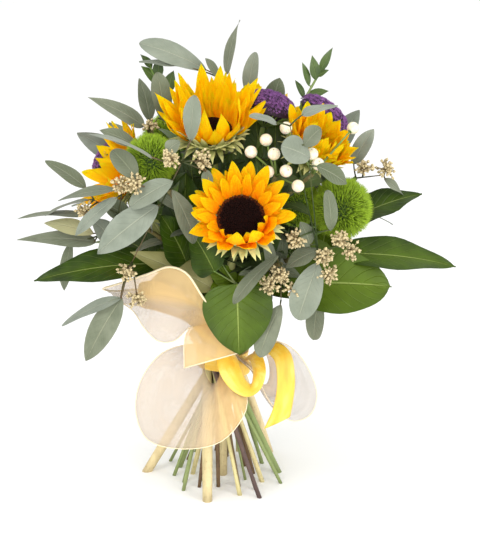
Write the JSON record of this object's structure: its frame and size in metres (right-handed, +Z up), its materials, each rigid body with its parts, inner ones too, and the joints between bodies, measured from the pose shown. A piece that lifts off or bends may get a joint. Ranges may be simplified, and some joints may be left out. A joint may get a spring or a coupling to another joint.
{
  "type": "flower bouquet",
  "caption": "Hand-tied spiral bunch of sunflowers with eucalyptus, green dianthus, throatwort, berries and leaves, tied with satin and organza bows; stands on its cut stems.",
  "frame": {"origin": "middle of the flat cut end of the bunch's central stem, on the surface that it stands on", "axes": "+Z up along the bunch, front with the bows towards -Y, +X to the right as seen from the front"},
  "size_m": [0.4228, 0.336, 0.4692],
  "materials": {
    "sunflower_petals": "soft satin, orange at the base",
    "sunflower_discs": "matt, near-black maroon florets",
    "sunflower_green": "matt, hairy green",
    "throatwort_stems": "matt green",
    "throatwort_florets": "matt violet",
    "dianthus": "matt bright green bristles",
    "berries": "waxy cream on green-brown stalks",
    "eucalyptus": "matt grey-green with a waxy bloom",
    "lemon_leaves": "leathery green, slightly glossy",
    "ruscus": "leathery dark green",
    "satin_ribbon": "glossy woven satin",
    "organza_ribbon": "sheer woven organza with a corded edge"
  },
  "bodies": {
    "root": {"berry_spray_1": "berries", "berry_spray_2": "berries", "berry_spray_3": "berries", "dianthus_1": "dianthus", "dianthus_2": "dianthus", "dianthus_3": "dianthus", "dianthus_4": "dianthus", "eucalyptus_back_1": "eucalyptus", "eucalyptus_back_2": "eucalyptus", "eucalyptus_back_3": "eucalyptus", "eucalyptus_front_left": "eucalyptus", "eucalyptus_front_right": "eucalyptus", "eucalyptus_left": "eucalyptus", "eucalyptus_right": "eucalyptus", "eucalyptus_right_front": "eucalyptus", "eucalyptus_top": "eucalyptus", "eucalyptus_upper_left": "eucalyptus", "lemon_leaf_back_1": "lemon_leaves", "lemon_leaf_back_2": "lemon_leaves", "lemon_leaf_front": "lemon_leaves", "lemon_leaf_left": "lemon_leaves", "lemon_leaf_right": "lemon_leaves", "lemon_leaf_right_rear": "lemon_leaves", "organza_ribbon": "organza_ribbon", "ruscus_left": "ruscus", "ruscus_right": "ruscus", "satin_ribbon": "satin_ribbon", "sunflower_back_calyx_stem": "sunflower_green", "sunflower_back_disc": "sunflower_discs", "sunflower_back_petals": "sunflower_petals", "sunflower_front_calyx_stem": "sunflower_green", "sunflower_front_disc": "sunflower_discs", "sunflower_front_petals": "sunflower_petals", "sunflower_left_calyx_stem": "sunflower_green", "sunflower_left_disc": "sunflower_discs", "sunflower_left_petals": "sunflower_petals", "sunflower_right_calyx_stem": "sunflower_green", "sunflower_right_disc": "sunflower_discs", "sunflower_right_petals": "sunflower_petals", "sunflower_upper_calyx_stem": "sunflower_green", "sunflower_upper_disc": "sunflower_discs", "sunflower_upper_petals": "sunflower_petals", "throatwort_1_florets": "throatwort_florets", "throatwort_1_stem": "throatwort_stems", "throatwort_2_florets": "throatwort_florets", "throatwort_2_stem": "throatwort_stems", "throatwort_3_florets": "throatwort_florets", "throatwort_3_stem": "throatwort_stems"}
  },
  "joints": []
}
